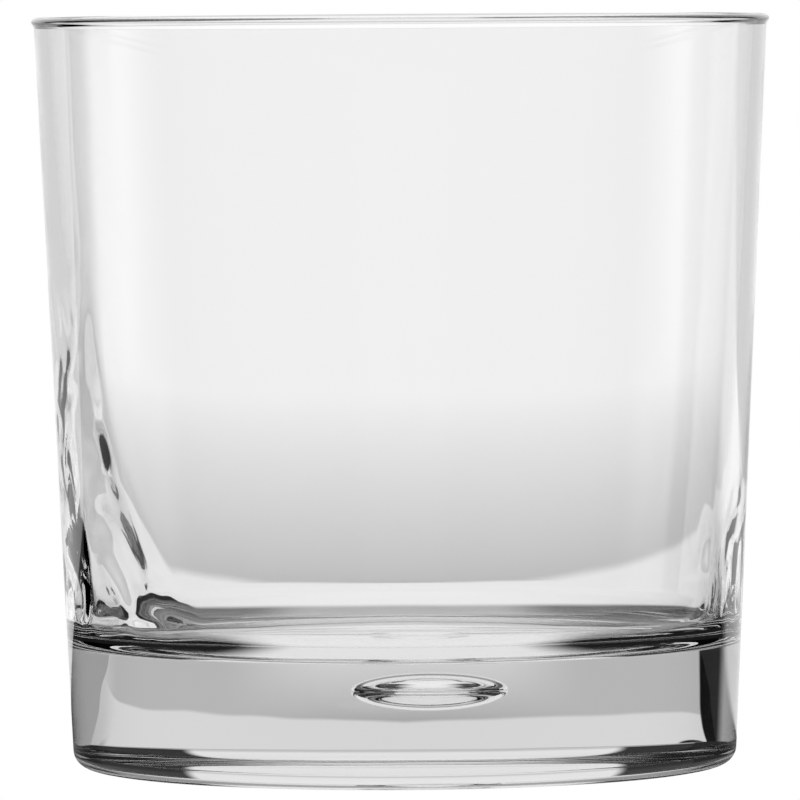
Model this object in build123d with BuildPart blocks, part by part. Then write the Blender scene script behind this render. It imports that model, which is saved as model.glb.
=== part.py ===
"""Whiskey tumbler: a round, slightly tapered drinking glass with a thick base that holds one air bubble.

The glass is one piece, formed hot in a mould, so this file makes one part: a closed wall of
revolution about Z, with a lens-shaped void shut inside its base. Millimetres, +Z up, and the
origin is the centre of the ring that the glass stands on.
"""

import os

from build123d import *

# Outside of the glass
height = 86.4  # from the standing ring to the top of the rim
rim_radius = 42.5  # widest point of the rim bead
neck_radius = 42.2  # outer wall where the rim bead begins
foot_radius = 38.2  # outer wall carried on down to the standing plane
heel_round = 2.0  # between the outer wall and the standing ring

# Rim, rounded by fire polishing into a bead that stands a little proud of the outer wall
bead_drop = 1.2  # from the top of the rim down to where the bead has run into the wall
bead_waist = 0.6  # from the top of the rim down to its widest point
crown_radius = 41.5  # circle along which the rim is highest

# Inside of the glass
wall_at_rim = 1.5
wall_at_floor = 2.1  # the straight upper wall, carried on down to the floor
thick_height = 50.0  # where the wall begins to thicken towards the floor
thickening = 0.4  # how much it has thickened where it meets the floor
floor_height = 14.5  # middle of the inside floor above the standing plane
floor_dish = 0.8  # how far the floor, carried on out to the wall, lies below its middle
cove_width = 6.5  # the curve between wall and floor, along the floor
cove_rise = 4.0  # and up the wall

# Underside, pushed up into a shallow dome inside the standing ring
ring_inner_radius = 32.5
punt_depth = 1.2

# Air bubble in the base, wider than it is high
bubble_offset = 1.9  # along X, from the axis of the glass
bubble_height = 10.0  # of its widest section, above the standing plane
bubble_radius = 6.0
bubble_above = 2.1  # from the widest section to the top of the bubble
bubble_below = 2.3  # from the widest section to its bottom

quarter_pull = 0.5523  # handles this long turn a cubic curve into a quarter of an ellipse
neck_height = height - bead_drop
waist_height = height - bead_waist
floor_edge_height = floor_height - floor_dish

# Corner points of the inside, as (radius, height)
inner_top = Vector(neck_radius - wall_at_rim, waist_height)
outer_at_floor = foot_radius + (neck_radius - foot_radius) * floor_height / neck_height
inner_foot = Vector(outer_at_floor - wall_at_floor, floor_edge_height)
floor_edge = inner_foot - Vector(thickening, 0)
up_the_wall = (inner_top - inner_foot) / (waist_height - floor_edge_height)
thick_start = inner_foot + up_the_wall * (thick_height - floor_edge_height)
bend = (inner_foot + thick_start) / 2
cove_start = floor_edge + (bend - floor_edge).normalized() * cove_rise
cove_end = floor_edge + Vector(-1, 2 * floor_dish / floor_edge.X).normalized() * cove_width


def quarter(start, corner, end):
    """Quarter of an ellipse from start to end, inside the right angle at corner."""
    start, corner, end = Vector(start), Vector(corner), Vector(end)
    leave = start + (corner - start) * quarter_pull
    arrive = end + (corner - end) * quarter_pull
    return Bezier(start, leave, arrive, end)


with BuildPart() as tumbler:
    with BuildSketch(Plane.XZ) as section:
        with BuildLine():
            # From the middle of the underside out to the heel and up to the rim
            punt = TangentArc((0, punt_depth), (ring_inner_radius, 0), tangent=(1, 0))
            ring = Line(punt @ 1, (foot_radius, 0))
            wall = Line(ring @ 1, (neck_radius, neck_height))
            # Over the rim
            bulge = Spline(wall @ 1, (rim_radius, waist_height), tangents=[wall % 1, (0, 1)])
            quarter((rim_radius, waist_height), (rim_radius, height), (crown_radius, height))
            quarter((crown_radius, height), (inner_top.X, height), inner_top)
            # Down the inside, and back to the axis across the floor
            Line(inner_top, thick_start)
            Bezier(thick_start, bend, cove_start)
            quarter(cove_start, floor_edge, cove_end)
            floor = TangentArc((0, floor_height), cove_end, tangent=(1, 0))
            Line(floor @ 0, punt @ 0)
        make_face()
        corners = section.vertices()
        fillet(corners.sort_by_distance((foot_radius, 0, 0))[0], heel_round)
    revolve(axis=Axis.Z)

    bubble_centre = (bubble_offset, 0, bubble_height)
    with BuildSketch(Plane(origin=bubble_centre, x_dir=(1, 0, 0), z_dir=(0, -1, 0))):
        with BuildLine():
            top = (0, bubble_above)
            side = (bubble_radius, 0)
            bottom = (0, -bubble_below)
            quarter(top, (bubble_radius, bubble_above), side)
            quarter(side, (bubble_radius, -bubble_below), bottom)
            Line(bottom, top)
        make_face()
    revolve(axis=Axis(bubble_centre, (0, 0, 1)), mode=Mode.SUBTRACT)

tumbler.part.label = "tumbler_glass"

os.makedirs("parts", exist_ok=True)
export_step(tumbler.part, "parts/tumbler_glass.step")
print("volume of glass, cm3:", round(tumbler.part.volume / 1000, 2))
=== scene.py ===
"""Whiskey tumbler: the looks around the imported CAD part. Metres, +Z up, and the camera looks along +Y."""

import math

import bmesh
import bpy
from mathutils import Euler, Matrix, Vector, noise


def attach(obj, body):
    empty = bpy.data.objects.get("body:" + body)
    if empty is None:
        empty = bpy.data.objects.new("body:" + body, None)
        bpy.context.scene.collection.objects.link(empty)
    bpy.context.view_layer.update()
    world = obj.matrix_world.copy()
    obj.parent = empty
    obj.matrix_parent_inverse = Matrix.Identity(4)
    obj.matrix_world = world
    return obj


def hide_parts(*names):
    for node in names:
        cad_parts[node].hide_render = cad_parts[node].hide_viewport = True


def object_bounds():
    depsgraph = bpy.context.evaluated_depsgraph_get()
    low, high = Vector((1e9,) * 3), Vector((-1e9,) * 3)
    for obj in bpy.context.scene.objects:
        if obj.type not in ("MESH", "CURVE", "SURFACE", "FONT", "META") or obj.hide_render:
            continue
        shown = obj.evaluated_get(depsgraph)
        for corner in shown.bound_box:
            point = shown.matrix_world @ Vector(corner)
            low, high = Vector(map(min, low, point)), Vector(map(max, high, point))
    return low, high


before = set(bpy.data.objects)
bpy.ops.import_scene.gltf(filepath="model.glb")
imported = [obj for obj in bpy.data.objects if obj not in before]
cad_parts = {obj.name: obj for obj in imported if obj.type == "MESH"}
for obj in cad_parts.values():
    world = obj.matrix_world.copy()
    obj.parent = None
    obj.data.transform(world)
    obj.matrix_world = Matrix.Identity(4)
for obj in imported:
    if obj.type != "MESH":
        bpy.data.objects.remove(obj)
cad_box = [list(corner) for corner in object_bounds()]

MM = 0.001

# Outside of the glass, in millimetres
HEIGHT = round(cad_box[1][2] / MM, 1)  # from the standing ring to the top of the rim
RIM_RADIUS = round(cad_box[1][1] / MM, 1)  # widest point of the rim bead
NECK_RADIUS = 42.2  # outer wall where the rim bead begins
FOOT_RADIUS = 38.2  # outer wall carried on down to the standing plane
HEEL_ROUND = 2.0  # between the outer wall and the standing ring

# Rim, rounded by fire polishing into a bead that stands a little proud of the outer wall
BEAD_DROP = 1.2  # from the top of the rim down to where the bead has run into the wall
BEAD_WAIST = 0.6  # from the top of the rim down to its widest point
CROWN_RADIUS = 41.5  # circle along which the rim is highest

# Inside of the glass
WALL_AT_RIM = 1.5
WALL_AT_FLOOR = 2.1  # the straight upper wall, carried on down to the floor
THICK_HEIGHT = 50.0  # where the wall begins to thicken towards the floor
THICKENING = 0.4  # how much it has thickened where it meets the floor
FLOOR_HEIGHT = 14.5  # middle of the inside floor above the standing plane
FLOOR_DISH = 0.8  # how far the floor, carried on out to the wall, lies below its middle
COVE_WIDTH = 6.5  # the curve between wall and floor, along the floor
COVE_RISE = 4.0  # and up the wall

# Underside, pushed up into a shallow dome inside the standing ring
RING_INNER_RADIUS = 32.5
PUNT_DEPTH = 1.2

# Air bubble in the base, wider than it is high
BUBBLE_OFFSET = 1.9  # along X, from the axis of the glass
BUBBLE_HEIGHT = 10.0  # of its widest section, above the standing plane
BUBBLE_RADIUS = 6.0
BUBBLE_ABOVE = 2.1  # from the widest section to the top of the bubble
BUBBLE_BELOW = 2.3  # from the widest section to its bottom

QUARTER_PULL = 0.5523  # handles this long turn a cubic curve into a quarter of an ellipse

# Steps round the glass, and along each run of its outline
AROUND = 360
PUNT_STEPS, RING_STEPS, HEEL_STEPS, WALL_STEPS = 40, 6, 12, 40
BULGE_STEPS, CROWN_STEPS = 6, 8
INSIDE_STEPS, BEND_STEPS, COVE_STEPS, FLOOR_STEPS = 50, 60, 40, 30
BUBBLE_STEPS = 20
END_STEP = 0.0005  # share of a straight run that its first and last steps take

# Unevenness of the inside wall, in degrees round the glass and millimetres
RIGHT_SPAN, RIGHT_FADE = 20, 12  # either side of +X
RIGHT_BOTTOM, RIGHT_TOP = 13, 34
RIGHT_RISE, RIGHT_FALL = 3, 12  # heights over which it comes in at its bottom and goes out at its top
RIGHT_DEPTH, RIGHT_SWING = 0.22, 0.45  # how far the wall stands in, and how much that varies
RIGHT_GRAIN, RIGHT_SEED = (9, 0.22), 5.1  # the pattern's steps per radian and per millimetre, and its seed
LEFT_BACK, LEFT_FRONT, LEFT_FOOT_SPREAD = 16, 30, 23  # either side of -X, and further forward at its foot
LEFT_FADE = 9
LEFT_BOTTOM, LEFT_REACH = 16, 60
LEFT_FOOT_SHARE, LEFT_FOOT_POWER = 0.30, 1.7  # share of the reach that the foot takes, and its curve
LEFT_RISE, LEFT_FALL = 0.04, 0.25  # shares of the reach over which it comes in and goes out
LEFT_DEPTH, LEFT_SWING, LEFT_THINNING = 0.40, 0.50, 1.6  # the last is the power by which it thins upwards
LEFT_GRAIN, LEFT_SEED = (4.2, 0.085), 4.7
DRIFT, DRIFT_GRAIN, DRIFT_SEEDS = 0.8, 0.9, (9.3, 17.1, 31.7)  # a slow pattern that shifts the main one
FINE_SHARE, FINE_GRAIN = 0.35, 2.3  # a finer pattern added to the main one

# Clear glass
GLASS_IOR = 1.52
GLASS_DENSITY = 3.7  # of its slight grey absorption, per metre
WAVES = (45.0, 2.0)  # scale and detail of the faint waviness of its surface
WAVE_STRENGTH, WAVE_HEIGHT = 0.3, 0.00012
SMEARS = (160.0, 4.0)  # scale and detail of the faint smears on it
SMEAR_RANGE, SMEAR_ROUGHNESS = (0.55, 0.80), 0.012

# Light levels of the studio, in the world's light and painted on the glowing floor; 1 is the white that the
# camera sees around the glass
UNDER_LEVEL = 0.85  # painted light on the floor under the glass
NEAR_LEVEL = 0.95  # sweep close behind the glass
FAR_LEVEL, FAR_GAIN, FAR_CURVE = 0.575, 0.450, 0.70  # sweep further back, which brightens with distance
SIDE_LEVEL = 0.655  # sweep on either side of its middle
PANEL_LEVEL = 1.35  # bright panel behind
PANEL_FOOT, PANEL_HORIZON = 0.97, 0.87  # its dimmer foot, and the horizon under it
TOP_LEVEL = 1.25  # light overhead
STRIP_LEVEL = 0.6  # low strip of light at the sides, next to the panel
FLANK_LEVEL = 0.82  # the same strip further round, and the floor under it
FLANK_NEAR = 0.015  # painted shade on the floor at the sides, close to the glass
WING_LEVEL = 0.06  # wings that stand over the strip
DARK_LEVEL = 0.03  # the rest of the sides
SHADOW_LEVEL = 0.01  # contact shadow
FRONT_LEVEL = 0.13  # what is in front of the glass, in reflections
FRONT_NEAR, FRONT_HIGH = 0.06, 0.04  # the same close to the glass, and high up
PALE_LEVEL, PALE_SIDE = 0.95, 0.70  # what is in front of the glass, seen through it, and at its sides
SKY_SHARE = 0.8  # dims all levels of the sky alike

# Bearings in the studio, in degrees from straight behind the glass, positive to the camera's right
SWEEP_MIDDLE = (6, 22)  # where the middle of the sweep gives way to its sides
LEFT_EDGE = (-28, -50.2)  # left edge of the sweep, near the glass and far from it
LEFT_BLUR = 0.012  # half the width of that edge, in radians
RIGHT_EDGE = (46, 54)  # right edge of the sweep
PANEL_EDGE = (28, 31)
STRIP_TURN = (45, 75)  # where the strip's level changes
STRIP_CLIMB = (60, 80)  # where it grows taller
WING_EDGE = (54, 60)
FLAG = (-67, -60, -50.5, -49)  # dark flag on the left
FRONT_EDGE = (80, 95)
FRONT_FADE = (85, 150)

# Distances on the studio's floor, in metres from the axis of the glass
SWEEP_START = (0.198, 0.218)  # where the white close behind the glass gives way to grey
SWEEP_LEAN_RIGHT, SWEEP_LEAN_LEFT = 0.75, -0.6  # how fast that boundary moves back to either side
FAR_START, FAR_RUN = 0.225, 0.515  # where the grey begins to brighten, and over what distance
LEFT_EDGE_RUN = (0.075, 0.375)  # over which the sweep's left edge turns
FLANK_RUN = (0.20, 0.55)  # over which the floor at the sides brightens
FRONT_RUN = (0.20, 0.45)  # and the floor in front
SHADOW_ACROSS = (0.015, 0.024)  # where the shadow under the glass begins, left and right of its middle
SHADOW_END = (0.037, 0.041)
FOOT_EDGE = (0.038, 0.041)  # where the floor under the glass gives way to the ring of floor round its foot
RING_ACROSS, RING_LEVELS = (0.010, 0.018), (0.45, 0.15)  # painted shade on the floor behind the foot, lighter at its middle
RING_BACK = (0.0, 0.02)  # where the front of that ring gives way to its back
RING_END = (0.050, 0.057)
FLOOR_REACH = 40.0

# Heights in the studio, as the sine of the angle above the horizon
FOOT_RISE = (0.008, 0.03)  # from the horizon to the panel's foot
PANEL_RISE = (0.03, 0.10)  # and on to the panel
STRIP_TOPS = (0.03, 0.14)  # next to the panel, and square to it
STRIP_FADE = (0.8, 1.4)  # as shares of the strip's height
WING_RISE = (0.02, 0.08)
FRONT_RISE = (0.05, 0.45)
TOP_RISE = (0.66, 0.98)

# Camera
SENSOR_WIDTH, LENS = 36, 437.2  # millimetres
EYE = (-0.0003, -1.120, 0.0929)
LOOK_DOWN, ROLL = 2.60, 0.38  # degrees

# How often a path of light may meet the glass
BOUNCES = 9
CLEAR_BOUNCES = 16


def line(a, b, count):
    """Points from a to b, without a. Tiny first and last steps keep the shading flat up to the ends."""
    a, b = Vector(a), Vector(b)
    shares = [END_STEP] + [i / count for i in range(1, count)] + [1 - END_STEP, 1.0]
    return [a.lerp(b, share) for share in shares]


def cubic(p0, p1, p2, p3, count):
    """Points along a cubic Bezier curve, without its first."""
    points = []
    for i in range(count):
        t = (i + 1) / count
        s = 1 - t
        point = Vector(p0) * s**3 + Vector(p1) * 3 * s * s * t
        points.append(point + Vector(p2) * 3 * s * t * t + Vector(p3) * t**3)
    return points


def quarter(start, corner, end, count):
    """Quarter of an ellipse from start to end, inside the right angle at corner."""
    start, corner, end = Vector(start), Vector(corner), Vector(end)
    return cubic(start, start.lerp(corner, QUARTER_PULL), end.lerp(corner, QUARTER_PULL), end, count)


def rounded(before, corner, after, radius, count):
    """An arc of the given radius that rounds the corner between two straight runs, and its two ends."""
    corner = Vector(corner)
    back = (Vector(before) - corner).normalized()
    on = (Vector(after) - corner).normalized()
    half = back.angle(on) / 2
    reach = radius / math.tan(half)
    centre = corner + (back + on).normalized() * (radius / math.sin(half))
    first, last = corner + back * reach, corner + on * reach
    start, sweep = first - centre, math.pi - 2 * half
    turn = 1 if back.x * on.y - back.y * on.x < 0 else -1
    points = []
    for i in range(count + 1):
        a = turn * sweep * i / count
        points.append(centre + Vector((
            start.x * math.cos(a) - start.y * math.sin(a),
            start.x * math.sin(a) + start.y * math.cos(a),
        )))
    return points, first, last


def outside_run():
    """The outline of the underside and the outer wall, from beside the axis out and up to the rim bead."""
    neck = (NECK_RADIUS, HEIGHT - BEAD_DROP)
    punt_radius = (RING_INNER_RADIUS**2 + PUNT_DEPTH**2) / (2 * PUNT_DEPTH)
    run = []
    for i in range(1, PUNT_STEPS + 1):
        r = RING_INNER_RADIUS * i / PUNT_STEPS
        run.append(Vector((r, PUNT_DEPTH - punt_radius + math.sqrt(punt_radius**2 - r * r))))
    heel, heel_start, heel_end = rounded(run[-1], (FOOT_RADIUS, 0), neck, HEEL_ROUND, HEEL_STEPS)
    run += line(run[-1], heel_start, RING_STEPS)[:-1] + heel
    return run + line(heel_end, neck, WALL_STEPS)


def rim_run(waist):
    """The outline of the rim bead, from the outer wall over the top to the inner wall."""
    neck_height = HEIGHT - BEAD_DROP
    neck = Vector((NECK_RADIUS, neck_height))
    inner_neck = NECK_RADIUS - WALL_AT_RIM
    lean = (neck - Vector((FOOT_RADIUS, 0))).normalized()
    pull = (waist - neck_height) / 3
    run = cubic(neck, neck + lean * pull, (RIM_RADIUS, waist - pull), (RIM_RADIUS, waist), BULGE_STEPS)
    run += quarter((RIM_RADIUS, waist), (RIM_RADIUS, HEIGHT), (CROWN_RADIUS, HEIGHT), CROWN_STEPS)
    return run + quarter((CROWN_RADIUS, HEIGHT), (inner_neck, HEIGHT), (inner_neck, waist), CROWN_STEPS)


def inside_run(waist):
    """The outline of the cavity, from the rim bead down the wall, round the cove and across the floor."""
    outer_at_floor = FOOT_RADIUS + (NECK_RADIUS - FOOT_RADIUS) * FLOOR_HEIGHT / (HEIGHT - BEAD_DROP)
    edge_height = FLOOR_HEIGHT - FLOOR_DISH
    inner_foot = Vector((outer_at_floor - WALL_AT_FLOOR, edge_height))
    floor_edge = Vector((inner_foot.x - THICKENING, edge_height))
    inner_top = Vector((NECK_RADIUS - WALL_AT_RIM, waist))
    thick_start = inner_foot.lerp(inner_top, (THICK_HEIGHT - edge_height) / (waist - edge_height))
    bend = inner_foot.lerp(thick_start, 0.5)
    cove_start = floor_edge + (bend - floor_edge).normalized() * COVE_RISE
    cove_end = floor_edge + Vector((-1, 2 * FLOOR_DISH / floor_edge.x)).normalized() * COVE_WIDTH
    run = line(inner_top, thick_start, INSIDE_STEPS)
    for i in range(BEND_STEPS):
        t = (i + 1) / BEND_STEPS
        run.append(thick_start.lerp(bend, t).lerp(bend.lerp(cove_start, t), t))
    run += quarter(cove_start, floor_edge, cove_end, COVE_STEPS)
    for i in range(FLOOR_STEPS):
        r = cove_end.x * (1 - (i + 1) / FLOOR_STEPS)
        run.append(Vector((r, FLOOR_HEIGHT - FLOOR_DISH * (r / floor_edge.x) ** 2)))
    return run


def glass_section():
    """The outline of the glass in (radius, height), from the underside's middle to the inside floor's."""
    waist = HEIGHT - BEAD_WAIST
    return [Vector((0, PUNT_DEPTH))] + outside_run() + rim_run(waist) + inside_run(waist)


def bubble_section():
    """The outline of the air bubble in (radius, height), from top to bottom."""
    top, side, bottom = (0, BUBBLE_ABOVE), (BUBBLE_RADIUS, 0), (0, -BUBBLE_BELOW)
    upper = quarter(top, (BUBBLE_RADIUS, BUBBLE_ABOVE), side, BUBBLE_STEPS)
    lower = quarter(side, (BUBBLE_RADIUS, -BUBBLE_BELOW), bottom, BUBBLE_STEPS)
    return [point + Vector((0, BUBBLE_HEIGHT)) for point in [Vector(top)] + upper + lower]


def smooth(t):
    """A smooth step from 0 to 1 as t goes from 0 to 1."""
    t = min(max(t, 0), 1)
    return t * t * (3 - 2 * t)


def low_right(turn, height):
    """How far the wall stands inwards, in mm, in a low patch round +X; turn is the angle from there."""
    span, fade = math.radians(RIGHT_SPAN), math.radians(RIGHT_FADE)
    if abs(turn) >= span or not RIGHT_BOTTOM < height < RIGHT_TOP:
        return 0.0
    place = Vector((turn * RIGHT_GRAIN[0], height * RIGHT_GRAIN[1], RIGHT_SEED))
    side = smooth((span - abs(turn)) / fade) * smooth((height - RIGHT_BOTTOM) / RIGHT_RISE)
    depth = RIGHT_DEPTH + RIGHT_SWING * noise.noise(place)
    return side * smooth((RIGHT_TOP - height) / RIGHT_FALL) * depth


def down_the_left(turn, height):
    """How far the wall stands inwards, in mm, round -X, most at its foot; turn is the angle from there."""
    rise = (height - LEFT_BOTTOM) / LEFT_REACH
    if not 0 < rise < 1:
        return 0.0
    foot = math.exp(-(rise / LEFT_FOOT_SHARE) ** LEFT_FOOT_POWER)
    front = math.radians(LEFT_FRONT + LEFT_FOOT_SPREAD * foot)
    back, fade = math.radians(LEFT_BACK), math.radians(LEFT_FADE)
    edge = smooth((front - turn) / fade) * smooth((turn + back) / fade)
    ends = min(rise / LEFT_RISE, 1) * min((1 - rise) / LEFT_FALL, 1)
    depth = (1 - rise) ** LEFT_THINNING
    place = Vector((turn * LEFT_GRAIN[0], height * LEFT_GRAIN[1], LEFT_SEED))
    drift = [noise.noise(place * DRIFT_GRAIN + Vector((seed, -seed, seed))) for seed in DRIFT_SEEDS]
    place = place + Vector(drift) * DRIFT
    swell = noise.noise(place) + FINE_SHARE * noise.noise(place * FINE_GRAIN)
    return edge * ends * depth * (LEFT_DEPTH + LEFT_SWING * swell)


def settle(angle, height):
    """How far the inside wall stands inwards of a true cavity, in mm, at an angle from +X and a height."""
    from_right = math.remainder(angle, 2 * math.pi)
    from_left = math.remainder(angle - math.pi, 2 * math.pi)
    return low_right(from_right, height) + down_the_left(from_left, height)


def lathe(mesh, section, around, offset=0, inwards=None):
    """Turns an outline that starts and ends on the axis into a closed surface, with the axis moved along X.

    The outline runs with the solid on its left. Past its highest point it is the inside, and inwards,
    where given, says how far that stands in at an angle and a height.
    """
    rings = []
    highest = max(range(len(section)), key=lambda i: section[i].y)
    for i, point in enumerate(section):
        if i in (0, len(section) - 1):
            rings.append([mesh.verts.new((offset * MM, 0, point.y * MM))])
            continue
        ring = []
        for k in range(around):
            a = 2 * math.pi * k / around
            r = point.x - (inwards(a, point.y) if inwards and i > highest else 0)
            x, y = offset + r * math.cos(a), r * math.sin(a)
            ring.append(mesh.verts.new((x * MM, y * MM, point.y * MM)))
        rings.append(ring)
    for low, high in zip(rings, rings[1:]):
        for k in range(around):
            j = (k + 1) % around
            if len(low) == 1:
                corners = (low[0], high[j], high[k])
            elif len(high) == 1:
                corners = (low[k], low[j], high[0])
            else:
                corners = (low[k], low[j], high[j], high[k])
            mesh.faces.new(corners).smooth = True


def glass_piece():
    """The glass as one mesh: its closed outer surface, and the air bubble as a shell inside its base."""
    mesh = bmesh.new()
    lathe(mesh, glass_section(), AROUND, inwards=settle)
    lathe(mesh, bubble_section(), AROUND // 2, offset=BUBBLE_OFFSET)
    data = bpy.data.meshes.new("tumbler_glass_visual")
    mesh.to_mesh(data)
    mesh.free()
    piece = bpy.data.objects.new("tumbler_glass_visual", data)
    bpy.context.collection.objects.link(piece)
    return piece


def feed(tree, socket, value):
    """Sets a socket to a number, or links another socket to it."""
    if isinstance(value, (int, float)):
        socket.default_value = value
    else:
        tree.links.new(value, socket)


def math_node(tree, operation, *values, clamp=False):
    """A Math node's result; each value is a number or a socket."""
    node = tree.nodes.new("ShaderNodeMath")
    node.operation = operation
    node.use_clamp = clamp
    for socket, value in zip(node.inputs, values):
        feed(tree, socket, value)
    return node.outputs[0]


def ramp(tree, value, low, high, out_low=0.0, out_high=1.0):
    """A smooth step from out_low to out_high as value goes from low to high."""
    node = tree.nodes.new("ShaderNodeMapRange")
    node.interpolation_type = "SMOOTHSTEP"
    tree.links.new(value, node.inputs["Value"])
    for name, number in (("From Min", low), ("From Max", high), ("To Min", out_low), ("To Max", out_high)):
        node.inputs[name].default_value = number
    return node.outputs["Result"]


def turn_ramp(tree, bearing, degrees, out_low=0.0, out_high=1.0):
    """A smooth step from out_low to out_high between two bearings."""
    low, high = (math.radians(angle) for angle in degrees)
    return ramp(tree, bearing, low, high, out_low, out_high)


def blend(tree, first, second, share):
    """first where share is 0, second where it is 1."""
    node = tree.nodes.new("ShaderNodeMix")
    node.data_type = "FLOAT"
    for name, value in (("Factor", share), ("A", first), ("B", second)):
        feed(tree, node.inputs[name], value)
    return node.outputs["Result"]


def noise_texture(tree, place, scale, detail):
    """A noise pattern's value over the surface."""
    texture = tree.nodes.new("ShaderNodeTexNoise")
    tree.links.new(place, texture.inputs["Vector"])
    texture.inputs["Scale"].default_value = scale
    texture.inputs["Detail"].default_value = detail
    return texture.outputs[0]


def clear_glass():
    """Clear glass with faint waves in its surface, faint smears on it and a slight grey in its depth."""
    material = bpy.data.materials.new("clear_glass")
    material.use_nodes = True
    tree = material.node_tree
    shader = tree.nodes["Principled BSDF"]
    shader.inputs["Base Color"].default_value = (1, 1, 1, 1)
    shader.inputs["IOR"].default_value = GLASS_IOR
    shader.inputs["Transmission Weight"].default_value = 1.0
    place = tree.nodes.new("ShaderNodeTexCoord").outputs["Object"]
    bump = tree.nodes.new("ShaderNodeBump")
    bump.inputs["Strength"].default_value = WAVE_STRENGTH
    bump.inputs["Distance"].default_value = WAVE_HEIGHT
    tree.links.new(noise_texture(tree, place, *WAVES), bump.inputs["Height"])
    tree.links.new(bump.outputs[0], shader.inputs["Normal"])
    smears = ramp(tree, noise_texture(tree, place, *SMEARS), *SMEAR_RANGE, 0.0, SMEAR_ROUGHNESS)
    tree.links.new(smears, shader.inputs["Roughness"])
    tint = tree.nodes.new("ShaderNodeVolumeAbsorption")
    tint.inputs["Color"].default_value = (0, 0, 0, 1)
    tint.inputs["Density"].default_value = GLASS_DENSITY
    tree.links.new(tint.outputs[0], tree.nodes["Material Output"].inputs["Volume"])
    return material


def bearings(tree, x, y):
    """The bearing of a place or direction, positive to the right, and how far round it is on either side."""
    bearing = math_node(tree, "ARCTAN2", x, y)
    return bearing, math_node(tree, "ABSOLUTE", bearing)


def flag_gap(tree, bearing):
    """0 where the dark flag stands on the left, 1 elsewhere."""
    opens, opened, closes, closed = FLAG
    rise = turn_ramp(tree, bearing, (opens, opened))
    fall = turn_ramp(tree, bearing, (closes, closed), 1.0, 0.0)
    return math_node(tree, "SUBTRACT", 1.0, math_node(tree, "MULTIPLY", rise, fall))


def without_reflection(tree):
    """1 for light that has only gone through the glass, 0 for light that the glass has mirrored."""
    mirrored = tree.nodes.new("ShaderNodeLightPath").outputs["Glossy Depth"]
    return math_node(tree, "LESS_THAN", mirrored, 0.5)


def front_level(tree, dim, turned):
    """Light level in front of the glass: dim in its reflections, pale where seen through it from behind."""
    pale = turn_ramp(tree, turned, FRONT_FADE, PALE_SIDE, PALE_LEVEL)
    return blend(tree, dim, pale, without_reflection(tree))


def sweep_level(tree, x, y, turned):
    """Painted light level of the floor behind the glass, laid out like a sweep: white close in, then grey,
    and white again far back.
    """
    right, left = (math_node(tree, "MULTIPLY", x, lean) for lean in (SWEEP_LEAN_RIGHT, SWEEP_LEAN_LEFT))
    back = math_node(tree, "SUBTRACT", y, math_node(tree, "MAXIMUM", right, left))
    beyond = ramp(tree, back, *SWEEP_START)
    share = math_node(tree, "DIVIDE", math_node(tree, "SUBTRACT", y, FAR_START), FAR_RUN, clamp=True)
    far = math_node(tree, "MULTIPLY_ADD", math_node(tree, "POWER", share, FAR_CURVE), FAR_GAIN, FAR_LEVEL)
    far = blend(tree, far, SIDE_LEVEL, turn_ramp(tree, turned, SWEEP_MIDDLE))
    return blend(tree, NEAR_LEVEL, far, beyond)


def close_level(tree, across, y, radius):
    """Painted light level of the floor under the glass and round its foot, with a painted contact shadow."""
    side = ramp(tree, across, *SHADOW_ACROSS)
    shadow = math_node(tree, "MULTIPLY", side, ramp(tree, radius, *SHADOW_END, 1.0, 0.0))
    under = blend(tree, UNDER_LEVEL, SHADOW_LEVEL, shadow)
    behind = ramp(tree, across, *RING_ACROSS, *RING_LEVELS)
    ring = blend(tree, SHADOW_LEVEL, behind, ramp(tree, y, *RING_BACK))
    return blend(tree, under, ring, ramp(tree, radius, *FOOT_EDGE))


def floor_level(tree, x, y):
    """Painted light level of the floor at a place on it, for every ray but the camera's own."""
    bearing, turned = bearings(tree, x, y)
    squares = math_node(tree, "ADD", math_node(tree, "POWER", x, 2), math_node(tree, "POWER", y, 2))
    radius = math_node(tree, "SQRT", squares)
    flank = ramp(tree, radius, *FLANK_RUN, FLANK_NEAR, FLANK_LEVEL)
    flank = math_node(tree, "MULTIPLY", flank, flag_gap(tree, bearing))
    left_edge = ramp(tree, radius, *LEFT_EDGE_RUN, *(math.radians(angle) for angle in LEFT_EDGE))
    past_edge = math_node(tree, "SUBTRACT", bearing, left_edge)
    past_left = ramp(tree, past_edge, -LEFT_BLUR, LEFT_BLUR)
    open_side = math_node(tree, "MULTIPLY", past_left, turn_ramp(tree, bearing, RIGHT_EDGE, 1.0, 0.0))
    behind = blend(tree, flank, sweep_level(tree, x, y, turned), open_side)
    ahead = front_level(tree, ramp(tree, radius, *FRONT_RUN, FRONT_NEAR, FRONT_LEVEL), turned)
    outside = blend(tree, behind, ahead, turn_ramp(tree, turned, FRONT_EDGE))
    close = close_level(tree, math_node(tree, "ABSOLUTE", x), y, radius)
    return blend(tree, close, outside, ramp(tree, radius, *RING_END))


def side_level(tree, bearing, turned, z):
    """Light level at the sides of the studio: a low strip of light, and dim wings above it."""
    gap = flag_gap(tree, bearing)
    strip_level = turn_ramp(tree, turned, STRIP_TURN, STRIP_LEVEL, FLANK_LEVEL)
    strip_top = turn_ramp(tree, turned, STRIP_CLIMB, *STRIP_TOPS)
    strip = ramp(tree, math_node(tree, "DIVIDE", z, strip_top), *STRIP_FADE, 1.0, 0.0)
    strip = math_node(tree, "MULTIPLY", strip, math_node(tree, "MULTIPLY", strip_level, gap))
    within = turn_ramp(tree, turned, WING_EDGE, 1.0, 0.0)
    wing = math_node(tree, "MULTIPLY", math_node(tree, "MULTIPLY", within, ramp(tree, z, *WING_RISE)), gap)
    return blend(tree, math_node(tree, "MAXIMUM", strip, DARK_LEVEL), WING_LEVEL, wing)


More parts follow.
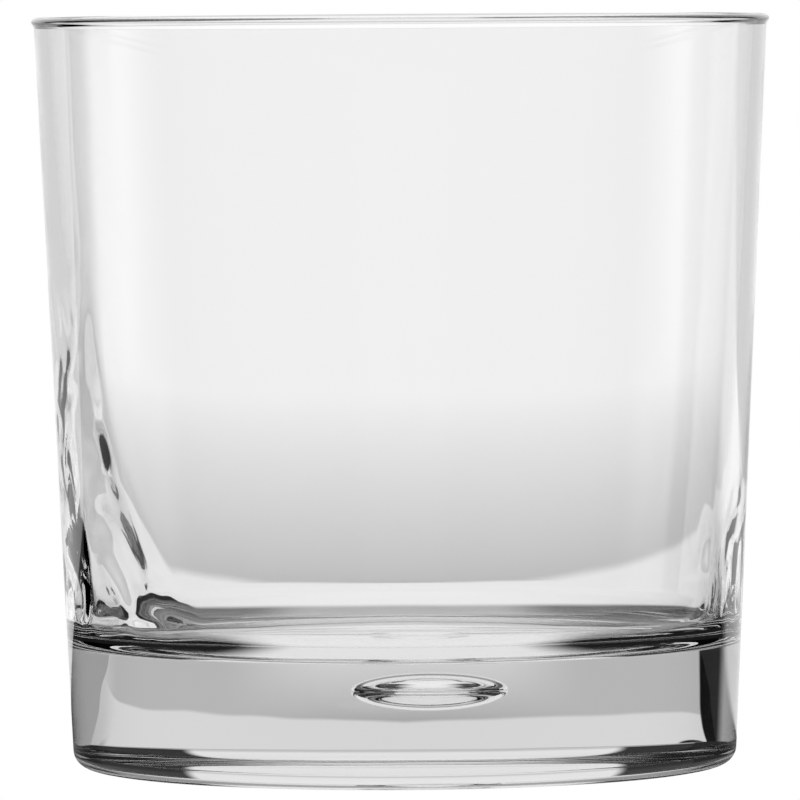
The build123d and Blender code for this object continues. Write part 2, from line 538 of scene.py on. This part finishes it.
def sky_level(tree, x, y, z):
    """Light level of the studio in a direction, for every ray but the camera's own."""
    bearing, turned = bearings(tree, x, y)
    foot = ramp(tree, z, *FOOT_RISE, PANEL_HORIZON, PANEL_FOOT)
    panel = blend(tree, foot, PANEL_LEVEL, ramp(tree, z, *PANEL_RISE))
    beside = side_level(tree, bearing, turned, z)
    behind = blend(tree, beside, panel, turn_ramp(tree, turned, PANEL_EDGE, 1.0, 0.0))
    ahead = front_level(tree, ramp(tree, z, *FRONT_RISE, FRONT_LEVEL, FRONT_HIGH), turned)
    level = blend(tree, behind, ahead, turn_ramp(tree, turned, FRONT_EDGE))
    return blend(tree, level, TOP_LEVEL, ramp(tree, z, *TOP_RISE))


def lit(tree, level, shader, output):
    """Ends a stage shader: full white straight to the camera, the given level to every other ray."""
    direct = tree.nodes.new("ShaderNodeLightPath").outputs["Is Camera Ray"]
    glow = tree.nodes.new(shader)
    glow.inputs["Color"].default_value = (1, 1, 1, 1)
    tree.links.new(blend(tree, level, 1.0, direct), glow.inputs["Strength"])
    out = tree.nodes.new(output)
    tree.links.new(glow.outputs[0], out.inputs["Surface"])


def split_place(tree, coordinates):
    """The X, Y and Z sockets of a set of texture coordinates."""
    split = tree.nodes.new("ShaderNodeSeparateXYZ")
    tree.links.new(tree.nodes.new("ShaderNodeTexCoord").outputs[coordinates], split.inputs[0])
    return split.outputs


def floor():
    """A wide floor that the glass stands on. It glows plain white straight to the camera, and with painted
    light and shade to every other ray.
    """
    reach = FLOOR_REACH
    mesh = bpy.data.meshes.new("floor")
    corners = [(-reach, -reach, 0), (reach, -reach, 0), (reach, reach, 0), (-reach, reach, 0)]
    mesh.from_pydata(corners, [], [(0, 1, 2, 3)])
    plane = bpy.data.objects.new("floor", mesh)
    bpy.context.collection.objects.link(plane)
    material = bpy.data.materials.new("floor")
    material.use_nodes = True
    tree = material.node_tree
    tree.nodes.clear()
    x, y, _ = split_place(tree, "Object")
    # the floor glows with these painted light levels, though it is no lamp
    lit(tree, floor_level(tree, x, y), "ShaderNodeEmission", "ShaderNodeOutputMaterial")
    mesh.materials.append(material)


def studio():
    """The studio round the glass, as the world's light."""
    world = bpy.data.worlds.new("studio")
    bpy.context.scene.world = world
    world.use_nodes = True
    tree = world.node_tree
    tree.nodes.clear()
    level = math_node(tree, "MULTIPLY", sky_level(tree, *split_place(tree, "Generated")), SKY_SHARE)
    lit(tree, level, "ShaderNodeBackground", "ShaderNodeOutputWorld")


def camera():
    """The camera, low in front of the glass, tipped down a little and rolled a little."""
    data = bpy.data.cameras.new("camera")
    data.sensor_width = SENSOR_WIDTH
    data.lens = LENS
    data.clip_start, data.clip_end = 0.01, 100
    eye = bpy.data.objects.new("camera", data)
    bpy.context.collection.objects.link(eye)
    eye.location = EYE
    tip = Euler((math.radians(90 - LOOK_DOWN), 0, 0)).to_matrix()
    roll = Euler((0, 0, -math.radians(ROLL))).to_matrix()
    eye.rotation_euler = (tip @ roll).to_euler()
    bpy.context.scene.camera = eye


camera()
floor()
studio()
glass = glass_piece()
glass.data.materials.append(clear_glass())
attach(glass, "root")
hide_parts("tumbler_glass")

scene = bpy.context.scene
scene.view_settings.view_transform = "Standard"
scene.cycles.max_bounces = BOUNCES
scene.cycles.transmission_bounces = BOUNCES
scene.cycles.glossy_bounces = BOUNCES
scene.cycles.transparent_max_bounces = CLEAR_BOUNCES
